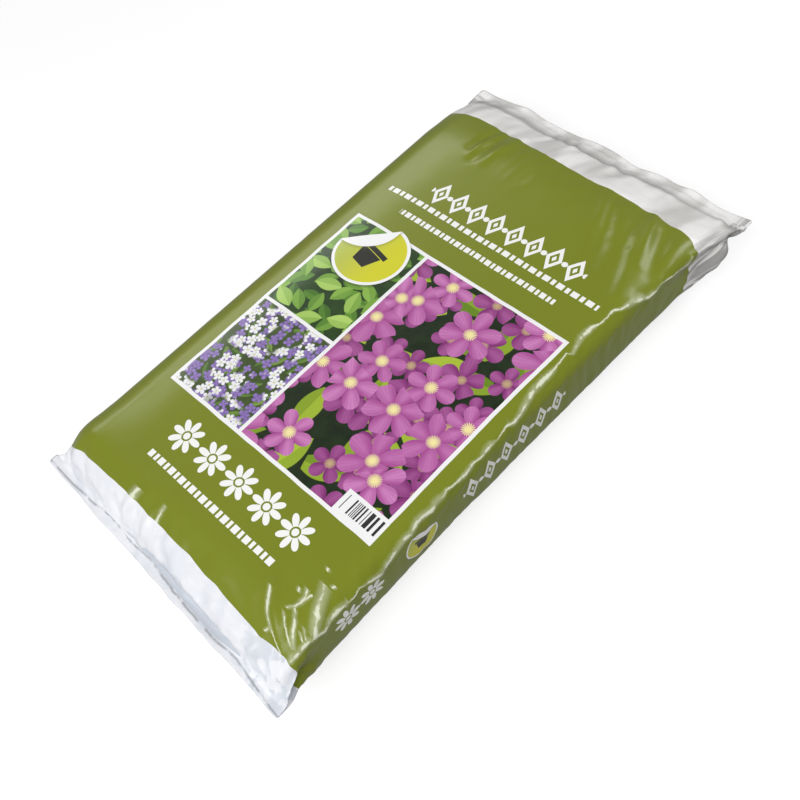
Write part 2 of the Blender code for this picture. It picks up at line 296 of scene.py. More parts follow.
cloth.settings.shrink_min = -0.04
cloth.settings.shrink_max = 0.0
cloth.settings.use_pressure = True
cloth.settings.uniform_pressure_force = -2
cloth.settings.effector_weights.gravity = 0
cloth.settings.rest_shape_key = flat_tube
cloth.collision_settings.distance_min = 0.001
cloth.point_cache.frame_end = SETTLE_FRAMES
for step in range(1, SETTLE_FRAMES + 1):
    bpy.context.scene.frame_set(step)
settled = bag_film.evaluated_get(bpy.context.evaluated_depsgraph_get()).data
settled = [vert.co.copy() for vert in settled.vertices]
bag_film.modifiers.clear()
bag_film.shape_key_clear()
bag_film.vertex_groups.clear()
for vert, start, place in zip(bag_film.data.vertices, filled_film, settled):
    moved = place - start
    vert.co = start + moved * min(1, MOST_MOVED / max(moved.length, 0.000001))
bpy.data.objects.remove(core)
bpy.context.scene.frame_set(1)
sheet.free()

finer = bag_film.modifiers.new("Finer", "SUBSURF")
finer.levels = finer.render_levels = 1
finer.uv_smooth = "PRESERVE_BOUNDARIES"
smooth_film = bpy.data.meshes.new_from_object(bag_film.evaluated_get(bpy.context.evaluated_depsgraph_get()))
bag_film.modifiers.clear()
bag_film.data = smooth_film
smooth_film.name = "bag_film"

# Folds and creases that handling has left, as places on the film: across it from
# the middle of the front, and along it from the near weld.
ACROSS_ZERO = FRONT_WIDTH + TUCK_WIDTH + FRONT_ROLL
RIDGE = (  # how far along, how far across
    (0.000, 0.222), (0.052, 0.2056), (0.066, 0.2106), (0.084, 0.212), (0.101, 0.218), (0.111, 0.2131),
    (0.123, 0.2119), (0.146, 0.2151), (0.156, 0.2118), (0.171, 0.2168), (0.184, 0.2217), (0.195, 0.2168),
    (0.207, 0.2144), (0.226, 0.2108), (0.236, 0.2119), (0.250, 0.2071), (0.261, 0.2081), (0.270, 0.2105),
    (0.280, 0.2076), (0.291, 0.2086), (0.298, 0.2062), (0.303, 0.2082), (0.327, 0.2100), (0.342, 0.2078),
    (0.352, 0.2101), (0.371, 0.2078), (0.381, 0.2096), (0.400, 0.2060), (0.410, 0.2095), (0.424, 0.2072),
    (0.453, 0.1994), (0.488, 0.1982), (0.516, 0.1957), (0.519, 0.2006), (0.531, 0.1974), (0.544, 0.1944),
    (0.564, 0.1946), (0.575, 0.1988), (0.597, 0.1979), (0.607, 0.2031), (0.627, 0.2072), (0.639, 0.2119),
    (0.649, 0.2181), (0.662, 0.2185), (0.673, 0.2146), (0.694, 0.2186), (0.727, 0.2236), (0.734, 0.2156),
    (0.870, 0.222),
)
FOLDS = (  # one end, the other end, width, rise
    ((0.071, 0.770), (0.106, 0.695), 0.0060, 0.0014),
    ((0.096, 0.755), (0.137, 0.640), 0.0110, -0.0026),
    ((0.094, 0.768), (0.126, 0.690), 0.0075, 0.0014),
    ((0.126, 0.765), (0.150, 0.690), 0.0095, -0.0026),
    ((0.152, 0.690), (0.172, 0.620), 0.0120, -0.0016),
    ((0.134, 0.745), (0.188, 0.620), 0.0075, 0.0022),
    ((0.141, 0.765), (0.180, 0.670), 0.0060, 0.0026),
    ((0.162, 0.760), (0.206, 0.645), 0.0120, -0.0036),
    ((-0.117, 0.710), (-0.112, 0.775), 0.0060, -0.0018),
    ((-0.107, 0.700), (-0.102, 0.758), 0.0050, 0.0016),
    ((-0.097, 0.690), (-0.099, 0.775), 0.0060, -0.0020),
    ((-0.082, 0.695), (-0.078, 0.780), 0.0060, 0.0020),
    ((-0.213, 0.045), (-0.205, 0.002), 0.0060, -0.0022),
    ((-0.187, 0.055), (-0.187, 0.002), 0.0065, 0.0020),
    ((-0.174, 0.060), (-0.158, 0.004), 0.0080, -0.0022),
    ((-0.108, 0.055), (-0.095, 0.004), 0.0095, -0.0030),
    ((-0.071, 0.068), (-0.081, 0.012), 0.0065, 0.0026),
    ((-0.061, 0.062), (-0.067, 0.002), 0.0045, -0.0020),
    ((-0.034, 0.070), (-0.046, 0.010), 0.0050, 0.0016),
    ((-0.034, 0.007), (0.138, 0.005), 0.0075, -0.0034),
    ((-0.027, 0.020), (0.138, 0.012), 0.0050, 0.0018),
    ((0.160, 0.046), (0.157, 0.004), 0.0060, 0.0026),
    ((0.171, 0.030), (0.180, 0.002), 0.0080, -0.0026),
    ((0.199, 0.030), (0.226, 0.000), 0.0060, 0.0022),
    ((0.212, 0.036), (0.236, 0.002), 0.0050, -0.0020),
    ((0.138, 0.100), (0.196, 0.050), 0.0050, 0.0016),
    ((0.173, 0.095), (0.203, 0.062), 0.0050, 0.0014),
    ((0.214, 0.086), (0.184, 0.135), 0.0050, 0.0020),
    ((-0.184, 0.832), (-0.141, 0.842), 0.0060, -0.0020),
    ((-0.150, 0.838), (0.010, 0.838), 0.0090, -0.0032),
    ((-0.020, 0.836), (0.150, 0.842), 0.0090, -0.0034),
    ((0.130, 0.842), (0.222, 0.852), 0.0085, -0.0034),
    ((0.048, 0.840), (0.046, 0.785), 0.0060, -0.0018),
    ((0.115, 0.830), (0.117, 0.780), 0.0060, -0.0014),
    ((0.139, 0.825), (0.142, 0.775), 0.0070, -0.0016),
    ((-0.060, 0.835), (-0.067, 0.790), 0.0050, -0.0010),
    ((0.246, 0.828), (0.285, 0.765), 0.0220, 0.0062),
    ((0.232, 0.835), (0.226, 0.735), 0.0050, 0.0026),
    ((0.240, 0.835), (0.241, 0.740), 0.0045, -0.0030),
    ((0.248, 0.840), (0.254, 0.740), 0.0045, 0.0030),
    ((0.256, 0.840), (0.266, 0.745), 0.0045, -0.0030),
    ((0.264, 0.845), (0.279, 0.750), 0.0045, 0.0028),
    ((0.272, 0.845), (0.292, 0.760), 0.0050, -0.0026),
    ((-0.246, 0.840), (-0.240, 0.745), 0.0050, 0.0024),
    ((-0.256, 0.840), (-0.256, 0.740), 0.0050, -0.0026),
    ((-0.266, 0.840), (-0.272, 0.745), 0.0050, 0.0024),
    ((-0.276, 0.845), (-0.288, 0.755), 0.0050, -0.0024),
    ((-0.250, 0.010), (-0.244, 0.085), 0.0050, -0.0022),
    ((-0.262, 0.008), (-0.264, 0.095), 0.0050, 0.0022),
    ((-0.274, 0.010), (-0.284, 0.085), 0.0050, -0.0022),
    ((-0.236, 0.180), (-0.248, 0.330), 0.0070, 0.0016),
    ((-0.252, 0.300), (-0.243, 0.450), 0.0080, -0.0018),
    ((-0.238, 0.430), (-0.255, 0.560), 0.0065, 0.0016),
    ((-0.262, 0.520), (-0.245, 0.690), 0.0080, -0.0018),
    ((-0.270, 0.130), (-0.258, 0.240), 0.0070, -0.0014),
)


def film_places(mesh):
    """Where every vertex lies on the flat film, as across and along."""
    loops = np.empty(len(mesh.loops), dtype=np.int32)
    mesh.loops.foreach_get("vertex_index", loops)
    spots = np.empty(len(mesh.loops) * 2)
    mesh.uv_layers["OFBake"].data.foreach_get("uv", spots)
    places = np.empty((len(mesh.vertices), 2))
    places[loops] = spots.reshape(-1, 2) * SHEET - (ACROSS_ZERO, FLANGE_DEPTH)
    return places


def fold_rise(places, start, end, width, rise):
    """How far one fold lifts the film: most half way along it, and falling away to both sides."""
    start = np.array(start)
    run = np.array(end) - start
    share = np.clip((places - start) @ run / (run @ run), 0, 1)
    away = np.linalg.norm(places - start - share[:, None] * run, axis=1) / width
    return rise * np.sin(np.pi * np.clip(share, 0.12, 0.88)) ** 0.7 * np.exp(-(away**2))


SAGS = (  # middle across the film, half its width, rise, first row, last row
    (-0.176, 0.034, -0.0040, 0.07, 0.80),
    (0.307, 0.035, -0.0038, 0.00, 0.38),
)
SAG_RUN = 0.08
RIDGE_RISE = 0.0020
RIDGE_HALF = 0.0045
RIDGE_RUN = 0.06
RIDGE_END = 0.80
FOLD_GAIN = 1.5  # every fold is this much deeper than it is listed
TUCK_LAP = 0.012  # how much of the front and the back lies shut with the tucks
SHUT_TO = 0.010  # how far from a weld a tuck lies shut, and then how far it takes to open
OPENS_IN = 0.035

places = film_places(smooth_film)
ridge_at = np.interp(places[:, 1], *zip(*RIDGE))
ridge_fade = np.clip(np.minimum(places[:, 1] / RIDGE_RUN, (RIDGE_END - places[:, 1]) / RIDGE_RUN), 0, 1)
rise = RIDGE_RISE * ridge_fade * np.exp(-(((places[:, 0] - ridge_at) / RIDGE_HALF) ** 2))
for fold in FOLDS:
    rise += FOLD_GAIN * fold_rise(places, *fold)
for middle, half, depth, first, last in SAGS:
    share = np.clip(np.minimum(places[:, 1] - first, last - places[:, 1]) / SAG_RUN, 0, 1)
    rise += depth * share**2 * (3 - 2 * share) * np.exp(-(((places[:, 0] - middle) / half) ** 2))
# The tucks lie shut between the front and the back at the welds, so no fold opens them there.
from_edge = np.abs(places[:, 0] + FRONT_ROLL) - FRONT_WIDTH / 2
from_weld = np.minimum(places[:, 1], FILM_LENGTH - places[:, 1])
opened = np.clip((from_weld - SHUT_TO) / OPENS_IN, 0, 1)
rise *= 1 - np.clip(from_edge / TUCK_LAP + 1, 0, 1) * (1 - opened)
points = np.empty(len(smooth_film.vertices) * 3)
smooth_film.vertices.foreach_get("co", points)
normals = np.empty(len(smooth_film.vertices) * 3)
smooth_film.vertices.foreach_get("normal", normals)
points += normals * np.repeat(rise, 3)
points[2::3] = np.maximum(points[2::3], 0)
smooth_film.vertices.foreach_set("co", points)
smooth_film.update()
smooth_film.shade_smooth()

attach(bag_film, "root")
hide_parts("compost_bag")


# Print and film
# The film is printed green on the outside, and bare white at both ends.
# Its inks are fields of colour that follow the film, so the print stays on it.


class Wiring:
    """Adds nodes to one node tree and joins them up."""

    def __init__(self, tree):
        self.tree = tree

    def add(self, kind, *feeds, named=None, **settings):
        made = self.tree.nodes.new("ShaderNode" + kind)
        for name, value in settings.items():
            setattr(made, name, value)
        for key, feed in [*enumerate(feeds), *(named or {}).items()]:
            if isinstance(feed, bpy.types.NodeSocket):
                self.tree.links.new(feed, made.inputs[key])
            elif feed is not None:
                made.inputs[key].default_value = feed
        return made

    def math(self, operation, *feeds):
        return self.add("Math", *feeds, operation=operation).outputs[0]

    def vector(self, operation, *feeds):
        made = self.add("VectorMath", *feeds, operation=operation)
        return made.outputs["Value" if operation in ("LENGTH", "DISTANCE", "DOT_PRODUCT") else "Vector"]

    def scale(self, vector, factor):
        return self.add("VectorMath", vector, named={"Scale": factor}, operation="SCALE").outputs[0]

    def turn(self, vector, angle):
        return self.add("VectorRotate", vector, named={"Angle": angle}, rotation_type="Z_AXIS").outputs[0]

    def parts(self, vector):
        return self.add("SeparateXYZ", vector).outputs

    def fade(self, value, low, high, start=0.0, end=1.0):
        """start below low, end above high, and smooth between them."""
        return self.add("MapRange", value, low, high, start, end, interpolation_type="SMOOTHSTEP").outputs[0]

    def both(self, first, *rest):
        for other in rest:
            first = self.math("MULTIPLY", first, other)
        return first

    def any(self, first, *rest):
        for other in rest:
            first = self.math("MAXIMUM", first, other)
        return first

    def blend(self, share, under, over):
        made = self.add("Mix", data_type="RGBA", clamp_factor=True)
        for index, feed in ((0, share), (6, under), (7, over)):
            if isinstance(feed, bpy.types.NodeSocket):
                self.tree.links.new(feed, made.inputs[index])
            else:
                made.inputs[index].default_value = feed if index == 0 else (*feed, 1)
        return made.outputs[2]

    def cloud(self, place, scale, detail, **others):
        """A soft noise, as a value from 0 to 1."""
        return self.add("TexNoise", place, named={"Scale": scale, "Detail": detail, **others}).outputs[0]

    def apart(self, value, other):
        return self.math("ABSOLUTE", self.math("SUBTRACT", value, other))

    def under(self, value, limit):
        return self.math("LESS_THAN", value, limit)

    def inside(self, x, y, left, right, bottom, top):
        """1 inside a rectangle, and 0 outside it."""
        sides = []
        for value, low, high in ((x, left, right), (y, bottom, top)):
            sides.append(self.math("SUBTRACT", self.apart(value, (low + high) / 2), (high - low) / 2))
        return self.under(self.math("MAXIMUM", *sides), 0)

    def lobes(self, angle, times):
        """1 at the middle of each lobe round a turn, and 0 between two lobes."""
        return self.math("ABSOLUTE", self.math("COSINE", self.math("MULTIPLY", angle, times)))


def new_group(name, feeds, results):
    """A node group with named inputs and outputs, and its wiring."""
    group = bpy.data.node_groups.new(name, "ShaderNodeTree")
    for feed, kind in feeds.items():
        group.interface.new_socket(feed, in_out="INPUT", socket_type="NodeSocket" + kind)
    for result in results:
        group.interface.new_socket(result, in_out="OUTPUT", socket_type="NodeSocketFloat")
    nodes = group.nodes
    return group, Wiring(group), nodes.new("NodeGroupInput").outputs, nodes.new("NodeGroupOutput").inputs


def scattered(wires, feeds):
    """A point's place in the nearest cell of a scattered pattern, and that cell's chance values."""
    place = wires.vector("ADD", wires.scale(feeds["Vector"], feeds["Scale"]), feeds["Seed"])
    cell = wires.add("TexVoronoi", place, named={"Scale": 1.0, "Randomness": 0.85}, voronoi_dimensions="2D")
    chance = wires.add("SeparateColor", cell.outputs["Color"]).outputs
    offset = wires.vector("SUBTRACT", place, cell.outputs["Position"])
    return wires.turn(offset, wires.math("MULTIPLY", chance[0], math.tau)), chance


# A blossom has round petals about a heart, with fine veins down each petal and a
# burst of stamens. Each petal tucks under the next one.
blossoms, wires, feeds, results = new_group(
    "blossoms",
    {"Vector": "Vector", "Scale": "Float", "Seed": "Vector", "Petals": "Float", "Size": "Float"},
    ("Mask", "Reach", "Petal", "Lap", "Vein", "Stamen", "Chance"),
)
turned, chance = scattered(wires, feeds)
parts = wires.parts(turned)
radius = wires.vector("LENGTH", turned)
angle = wires.math("ARCTAN2", parts[1], parts[0])
swing = wires.math("MULTIPLY", angle, wires.math("MULTIPLY", feeds["Petals"], 0.5))
petal = wires.math("ABSOLUTE", wires.math("COSINE", swing))
growth = wires.fade(chance[1], 0, 1, 0.8, 1.15)
notch = wires.math("MULTIPLY_ADD", wires.math("POWER", petal, 0.45), 0.72, 0.28)
size = wires.both(feeds["Size"], growth, notch)
reach = wires.math("DIVIDE", radius, size)
lap = wires.math("FRACT", wires.math("ADD", wires.math("DIVIDE", swing, math.pi), 0.5))
vein = wires.math("POWER", wires.lobes(swing, 7.0), 6.0)
burst = wires.math("MULTIPLY_ADD", wires.lobes(angle, 9.0), 0.16, 0.07)
for result, value in {
    "Mask": wires.fade(reach, 0.96, 1.0, 1.0, 0.0), "Reach": reach, "Petal": petal, "Lap": lap, "Vein": vein,
    "Stamen": wires.under(wires.math("DIVIDE", radius, feeds["Size"]), burst), "Chance": chance[2],
}.items():
    wires.tree.links.new(value, results[result])

# A leaf is a pointed oval with a midrib.
leaves, wires, feeds, results = new_group(
    "leaves",
    {"Vector": "Vector", "Scale": "Float", "Seed": "Vector", "Length": "Float", "Breadth": "Float"},
    ("Mask", "Side", "Rib", "Chance"),
)
turned, chance = scattered(wires, feeds)
parts = wires.parts(turned)
share = wires.math("DIVIDE", parts[0], feeds["Length"])
breadth = wires.math("MULTIPLY", feeds["Breadth"], wires.math("SUBTRACT", 1, wires.both(share, share)))
off = wires.math("SUBTRACT", wires.math("ABSOLUTE", parts[1]), breadth)
for result, value in {
    "Mask": wires.fade(off, -0.02, 0.0, 1.0, 0.0), "Side": wires.fade(parts[1], -0.02, 0.02),
    "Rib": wires.fade(wires.math("ABSOLUTE", parts[1]), 0.005, 0.02, 1.0, 0.0), "Chance": chance[2],
}.items():
    wires.tree.links.new(value, results[result])

PANEL = (-0.158, 0.189, -0.240, 0.095)
ALONG_ZERO = NEAR_SLOPE - NEAR_END["top"] - NEAR_WELD
NEAR_BARE = 0.061
FAR_BARE = 0.095
INK_WHITE = (0.84, 0.84, 0.84)
INK_BLACK = (0.03, 0.03, 0.03)

film = bpy.data.materials.new("printed_film")
film.use_nodes = True
film.node_tree.nodes.clear()
wires = Wiring(film.node_tree)
sheet_place = wires.parts(wires.add("UVMap", uv_map="OFBake").outputs[0])
x = wires.math("MULTIPLY_ADD", sheet_place[0], SHEET, -ACROSS_ZERO)
row = wires.math("MULTIPLY_ADD", sheet_place[1], SHEET, -FLANGE_DEPTH)
y = wires.math("SUBTRACT", row, ALONG_ZERO)
spot = wires.add("CombineXYZ", x, y, 0).outputs[0]
film_spot = wires.add("CombineXYZ", x, row, 0).outputs[0]


def profile(value, points):
    """A value read off a line through points on the film."""
    lows, highs = [min(axis) for axis in zip(*points)], [max(axis) for axis in zip(*points)]
    way = wires.add("MapRange", value, lows[0], highs[0]).outputs[0]
    made = wires.add("FloatCurve", named={"Value": way})
    line = made.mapping.curves[0]
    spots = [[(at - low) / (high - low) for at, low, high in zip(point, lows, highs)] for point in points]
    line.points[0].location, line.points[1].location = spots[0], spots[-1]
    for place in spots[1:-1]:
        line.points.new(*place)
    for point in line.points:
        point.handle_type = "VECTOR"
    made.mapping.update()
    return wires.math("MULTIPLY_ADD", made.outputs[0], highs[1] - lows[1], lows[1])


# The print ends in a wavy line at both ends, read off places across and along the film.
near_bound = profile(x, (
    (-0.35, NEAR_BARE), (-0.30, 0.050), (-0.25, 0.040), (-0.212, 0.0444), (-0.182, 0.0524), (-0.134, 0.0568),
    (-0.075, 0.0599), (-0.025, 0.0586), (0.037, 0.0568), (0.108, 0.0526), (0.162, 0.0488), (0.197, 0.0527),
    (0.209, 0.048), (0.230, 0.037), (0.250, 0.028), (0.262, 0.024), (0.300, 0.045), (0.35, NEAR_BARE),
))
far_bound = profile(x, (
    (-0.35, FILM_LENGTH - FAR_BARE), (-0.24, 0.768), (-0.194, 0.7668), (-0.152, 0.7714), (-0.105, 0.7702),
    (-0.0235, 0.765), (0.04, 0.7614), (0.084, 0.7628), (0.1395, 0.760), (0.179, 0.7556), (0.194, 0.750),
    (0.209, 0.744), (0.226, 0.745), (0.241, 0.739), (0.268, 0.7375), (0.275, 0.728), (0.310, 0.745),
    (0.36, FILM_LENGTH - FAR_BARE),
))
green = wires.blend(wires.cloud(spot, 6.0, 3.0), (0.174, 0.206, 0.014), (0.194, 0.229, 0.017))
bare = wires.any(wires.under(row, near_bound), wires.math("GREATER_THAN", row, far_bound))


def scatter(group, **named):
    """One scattered layer of a picture, as what its group gives."""
    made = wires.add("Group", node_tree=group)
    wires.tree.links.new(spot, made.inputs["Vector"])
    for name, value in named.items():
        made.inputs[name].default_value = value
    return made.outputs


def leaf_layer(colour, scale, seed, length, breadth, dark, light):
    """Leaves over the colour, each with one lighter side and a light midrib."""
    out = scatter(leaves, Scale=scale, Seed=seed, Length=length, Breadth=breadth)
    chance = wires.math("MULTIPLY", out["Chance"], 0.65)
    tone = wires.math("ADD", wires.math("MULTIPLY", out["Side"], 0.35), chance)
    leaf = wires.blend(wires.math("MULTIPLY", out["Rib"], 0.35), wires.blend(tone, dark, light), light)
    return wires.blend(out["Mask"], colour, leaf)


def blossom_layer(colour, scale, seed, petals, size, edge, line, heart):
    """Blossoms over the colour, each darker at its petals' edges and round its heart."""
    out = scatter(blossoms, Scale=scale, Seed=seed, Petals=petals, Size=size)
    crown = wires.math("MULTIPLY", wires.math("POWER", out["Petal"], 3.0), 0.55)
    body = wires.blend(wires.math("MULTIPLY_ADD", out["Lap"], 0.45, crown), edge, line)
    for shade in (
        wires.math("MULTIPLY", out["Vein"], 0.25), wires.math("MULTIPLY", out["Chance"], 0.40),
        wires.fade(out["Reach"], 0.15, 0.5, 0.6, 0.0),
    ):
        body = wires.blend(shade, body, edge)
    return wires.blend(out["Mask"], colour, wires.blend(out["Stamen"], body, heart))


grain = wires.cloud(spot, 60.0, 4.0)
foliage = wires.blend(grain, (0.004, 0.014, 0.004), (0.03, 0.08, 0.012))
foliage = leaf_layer(foliage, 34, (3, 1, 0), 0.52, 0.27, (0.03, 0.10, 0.01), (0.12, 0.28, 0.03))
foliage = leaf_layer(foliage, 30, (9, 4, 0), 0.52, 0.27, (0.07, 0.19, 0.02), (0.25, 0.45, 0.07))
foliage = leaf_layer(foliage, 26, (5, 8, 0), 0.52, 0.27, (0.13, 0.30, 0.03), (0.42, 0.62, 0.14))

tall = wires.blend(grain, (0.003, 0.006, 0.003), (0.02, 0.04, 0.012))
tall = leaf_layer(tall, 17, (2, 7, 0), 0.62, 0.26, (0.10, 0.20, 0.01), (0.38, 0.50, 0.04))
tall = blossom_layer(
    tall, 19, (4, 2, 0), petals=5, size=0.56,
    edge=(0.20, 0.025, 0.15), line=(0.45, 0.13, 0.36), heart=(0.5, 0.35, 0.2),
)
tall = blossom_layer(
    tall, 14.5, (7, 5, 0), petals=6, size=0.56,
    edge=(0.36, 0.07, 0.27), line=(0.66, 0.26, 0.55), heart=(0.85, 0.75, 0.35),
)

meadow = wires.blend(grain, (0.02, 0.04, 0.012), (0.08, 0.12, 0.03))
meadow = leaf_layer(meadow, 42, (6, 3, 0), 0.55, 0.16, (0.04, 0.10, 0.015), (0.20, 0.32, 0.06))
meadow = blossom_layer(
    meadow, 75, (1, 6, 0), petals=4, size=0.50,
    edge=(0.17, 0.10, 0.34), line=(0.36, 0.26, 0.58), heart=(0.3, 0.2, 0.4),
)
white_florets = blossom_layer(
    meadow, 68, (8, 8, 0), petals=5, size=0.52,
    edge=(0.72, 0.72, 0.74), line=(0.92, 0.92, 0.92), heart=(0.6, 0.6, 0.25),
)
drift = wires.fade(wires.cloud(spot, 22.0, 1.0), 0.47, 0.53)
meadow = wires.blend(drift, meadow, white_florets)

left, right, bottom, top = PANEL
BORDER = 0.0050
SPLIT = -0.030
SHELF = -0.080
print_colour = wires.blend(wires.inside(x, y, *PANEL), green, INK_WHITE)
for picture, frame_box in (
    (tall, (SPLIT + BORDER / 2, right - BORDER, bottom + BORDER, top - BORDER)),
    (foliage, (left + BORDER, SPLIT - BORDER / 2, SHELF + BORDER / 2, top - BORDER)),
    (meadow, (left + BORDER, SPLIT - BORDER / 2, bottom + BORDER, SHELF - BORDER / 2)),
):
    print_colour = wires.blend(wires.inside(x, y, *frame_box), print_colour, picture)

# A small white box holds plain bars.
BARS_A_METRE = 900.0
bar = wires.math("FLOOR", wires.math("MULTIPLY", x, BARS_A_METRE))
bar = wires.add("TexWhiteNoise", named={"W": bar}, noise_dimensions="1D").outputs["Value"]
bars = wires.both(wires.inside(x, y, 0.130, 0.185, -0.230, -0.210), wires.math("GREATER_THAN", bar, 0.5))
print_colour = wires.blend(wires.inside(x, y, 0.125, right, bottom, -0.205), print_colour, INK_WHITE)
print_colour = wires.blend(bars, print_colour, INK_BLACK)


def repeated(run, pitch):
    """How far a point is past the middle of its step in a row, as a share of the step."""
    return wires.math("SUBTRACT", wires.math("FRACT", wires.math("DIVIDE", run, pitch)), 0.5)


def length(one, other):
    return wires.math("SQRT", wires.math("ADD", wires.both(one, one), wires.both(other, other)))


def lozenges(run, across, pitch, middle, half):
    """A row of hollow lozenges with dots between them."""
    wide = wires.math("ABSOLUTE", wires.math("MULTIPLY", repeated(run, pitch), pitch))
    high = wires.apart(across, middle)
    lozenge = wires.math("ADD", wires.math("DIVIDE", wide, pitch * 0.36), wires.math("DIVIDE", high, half))
    hollow = wires.both(wires.under(lozenge, 1.0), wires.math("GREATER_THAN", lozenge, 0.55))
    dot = wires.under(length(wires.math("SUBTRACT", pitch / 2, wide), high), pitch * 0.13)
    return wires.any(hollow, wires.under(lozenge, 0.25), dot)


def rosettes(run, across, pitch, middle, size):
    """A row of small rosettes with eight petals each."""
    step = wires.math("MULTIPLY", repeated(run, pitch), pitch)
    high = wires.math("SUBTRACT", across, middle)
    petal = wires.math("POWER", wires.lobes(wires.math("ARCTAN2", high, step), 4.0), 0.5)
    reach = length(step, high)
    petals = wires.under(reach, wires.math("MULTIPLY", petal, size))
    petals = wires.both(petals, wires.math("GREATER_THAN", reach, size * 0.3))
    return wires.any(petals, wires.under(reach, size * 0.2))


def dashes(run, across, pitch, middle, half):
    """A row of short dashes and dots."""
    part = wires.math("FRACT", wires.math("DIVIDE", run, pitch))
    dot = wires.both(wires.math("GREATER_THAN", part, 0.6), wires.under(part, 0.85))
    dash = wires.any(wires.under(part, 0.45), dot)
    return wires.both(dash, wires.under(wires.apart(across, middle), half))


FRONT_ROWS = (  # motif, start, pitch, middle, half its height, and the box that it fills
    (lozenges, -0.103, 0.0310, 0.184, 0.0210, (-0.103, 0.145, 0.16, 0.21)),
    (dashes, 0, 0.0210, 0.154, 0.0042, (-0.155, 0.184, 0.14, 0.17)),
    (dashes, 0, 0.0170, 0.130, 0.0042, (-0.112, 0.140, 0.12, 0.14)),
    (rosettes, -0.098, 0.0474, -0.281, 0.0225, (-0.098, 0.139, -0.31, -0.25)),
    (dashes, 0, 0.0190, -0.322, 0.0045, (-0.094, 0.125, -0.34, -0.31)),
)
SIDE_ROWS = (
    (rosettes, -0.324, 0.0370, 0.240, 0.0185, (0.22, 0.28, -0.324, -0.250)),
    (lozenges, -0.120, 0.0300, 0.245, 0.0220, (0.22, 0.28, -0.120, 0.060)),
)
marks = []
for rows_of_marks, run, across in ((FRONT_ROWS, x, y), (SIDE_ROWS, y, x)):
    for motif, start, pitch, middle, half, place in rows_of_marks:
        mark = motif(wires.math("SUBTRACT", run, start), across, pitch, middle, half)
        marks.append(wires.both(mark, wires.inside(x, y, *place)))
print_colour = wires.blend(wires.any(*marks), print_colour, (0.86, 0.86, 0.84))


PEEL_LINE = 0.62  # parts of a badge as shares of its radius
CURL_AT = 1.24
RIM_INSIDE = 0.915


def badge(colour, middle, size, lifted, upright):
    """A round yellow-green badge with a white rim, one edge peeled over, and a plain flower pot on it."""
    off = wires.scale(wires.vector("SUBTRACT", spot, (*middle, 0)), 1 / size)
    peel = Vector((math.cos(lifted), math.sin(lifted), 0))
    flat = wires.under(wires.vector("DOT_PRODUCT", off, tuple(peel)), PEEL_LINE)
    reach = wires.vector("LENGTH", off)
    turned = wires.parts(wires.turn(off, -upright))
    shade = wires.fade(wires.parts(off)[0], -0.9, 0.6)
    face = wires.blend(shade, (0.44, 0.50, 0.085), (0.62, 0.60, 0.022))
    pot = wires.under(wires.math("ABSOLUTE", turned[0]), wires.math("MULTIPLY_ADD", turned[1], 0.28, 0.33))
    pot = wires.both(pot, wires.under(wires.apart(turned[1], -0.18), 0.24))
    lip = wires.inside(turned[0], turned[1], -0.44, 0.44, 0.08, 0.22)
    face = wires.blend(wires.any(pot, lip), face, (0.02, 0.02, 0.015))
    curl = wires.vector("DISTANCE", off, tuple(peel * CURL_AT))
    face = wires.blend(wires.under(reach, RIM_INSIDE), (0.86, 0.86, 0.86), face)
    face = wires.blend(wires.fade(curl, 1.0, 1.12, 0.35, 0.0), face, (0.10, 0.11, 0.02))
    face = wires.blend(wires.under(curl, 1.0), face, (0.88, 0.88, 0.88))
    drop = wires.fade(wires.vector("DISTANCE", off, tuple(peel * -0.05)), 0.98, 1.06, 0.5, 0.0)
    colour = wires.blend(wires.both(drop, flat), colour, (0.02, 0.02, 0.01))
    return wires.blend(wires.both(wires.under(reach, 1.0), flat), colour, face)


print_colour = badge(print_colour, middle=(-0.093, 0.052), size=0.052, lifted=2.325, upright=-0.2)
print_colour = badge(print_colour, middle=(0.2425, -0.189), size=0.0255, lifted=2.75, upright=1.35)

# Painted highlights: pale lines are painted into the print along the crease down the right side
# and in the sharp creases of the near right corner, standing in for the light those creases catch.
# Each crease is read off a line as its place across the film for each place along it, and lies far off the
# film elsewhere.
OFF_FILM = -0.9
CREASE_GAP = 0.0005
CREASES = (  # share of the width, then creases that follow one another along the film
    (1.5, ((0.1956, 0.0506), (0.1842, 0.0562), (0.1735, 0.0605), (0.1650, 0.0659), (0.1551, 0.0733),
           (0.1481, 0.0824), (0.1386, 0.0953)),
     ((0.1772, 0.1022), (0.1767, 0.1107), (0.1713, 0.1191)), ((0.2118, 0.1389), (0.2165, 0.1323))),
    (1.3, ((0.2056, 0.0516), (0.2086, 0.0600), (0.2106, 0.0661), (0.2113, 0.0719), (0.2109, 0.0768),
           (0.2120, 0.0837), (0.2165, 0.0852)),
     ((0.1669, 0.1095), (0.1642, 0.1145)), ((0.1905, 0.1354), (0.1932, 0.1396))),
    (1.2, ((0.2018, 0.0637), (0.1919, 0.0700), (0.1806, 0.0775), (0.1694, 0.0862)),
     ((0.1698, 0.0897), (0.1757, 0.0974), (0.1773, 0.1047), (0.1794, 0.1128), (0.1803, 0.1173))),
    (1.4, ((0.2041, 0.0647), (0.1978, 0.0722), (0.1871, 0.0859), (0.1766, 0.0960)),
     ((0.2180, 0.1014), (0.2131, 0.1106), (0.2112, 0.1189), (0.2119, 0.1232)),
     ((0.1747, 0.1455), (0.1727, 0.1492))),
    (1.1, ((0.1629, 0.0565), (0.1674, 0.0657)), ((0.2071, 0.0765), (0.1975, 0.0828))),
    (3.0, ((-0.0717, 0.0581), (-0.0680, 0.0741)),
     ((0.2140, 0.0872), (0.2071, 0.0954), (0.1993, 0.1058), (0.1912, 0.1198), (0.1838, 0.1336))),
    (1.2, ((-0.0237, 0.0588), (-0.0250, 0.0800)), ((0.1980, 0.0883), (0.2084, 0.0810))),
)
